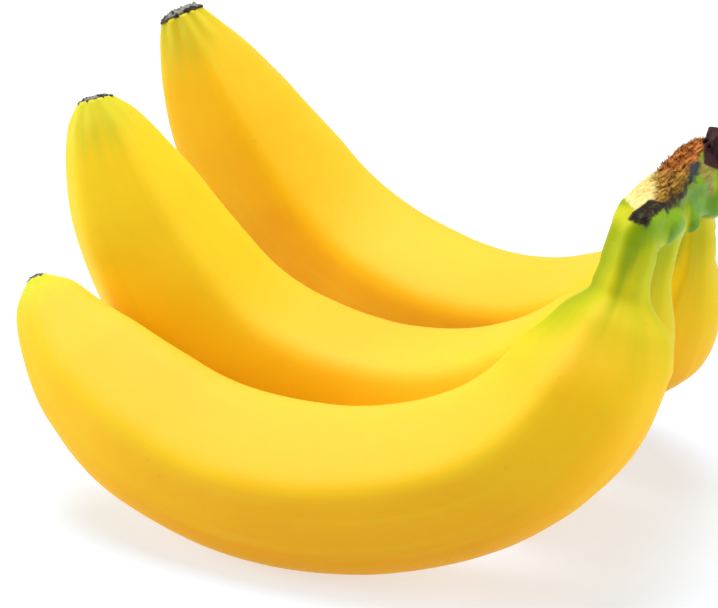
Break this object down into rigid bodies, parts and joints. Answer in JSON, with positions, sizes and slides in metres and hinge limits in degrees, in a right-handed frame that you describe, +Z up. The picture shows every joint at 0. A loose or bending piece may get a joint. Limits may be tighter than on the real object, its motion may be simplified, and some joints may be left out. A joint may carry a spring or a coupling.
{
  "type": "bunch of bananas",
  "caption": "Ripe curved bananas spreading from one green crown, tips upturned, lying on their bellies.",
  "frame": {"origin": "centre of the bounding box's bottom face, in the plane that the bellies rest on", "axes": "+Z up from the surface. The crown is on the +X side and the tips point towards -X. -Y is the front, the side of the finger that leans out."},
  "size_m": [0.1592, 0.1646, 0.0899],
  "materials": {
    "peel_front": "smooth waxy yellow peel, greenish at the neck and the tip",
    "peel_middle": "smooth waxy yellow peel, greenish at the neck and the tip",
    "peel_back": "smooth waxy yellow peel, greenish at the neck and the tip",
    "crown": "green woody tissue with a torn cream and brown top, dried dark in places",
    "dried_flower": "crumbly dry dark brown remains of the flower"
  },
  "bodies": {
    "root": {"banana_front": "peel_front", "banana_middle": "peel_middle", "banana_back": "peel_back", "crown": "crown", "blossom_end_front": "dried_flower", "blossom_end_middle": "dried_flower", "blossom_end_back": "dried_flower"}
  },
  "joints": []
}
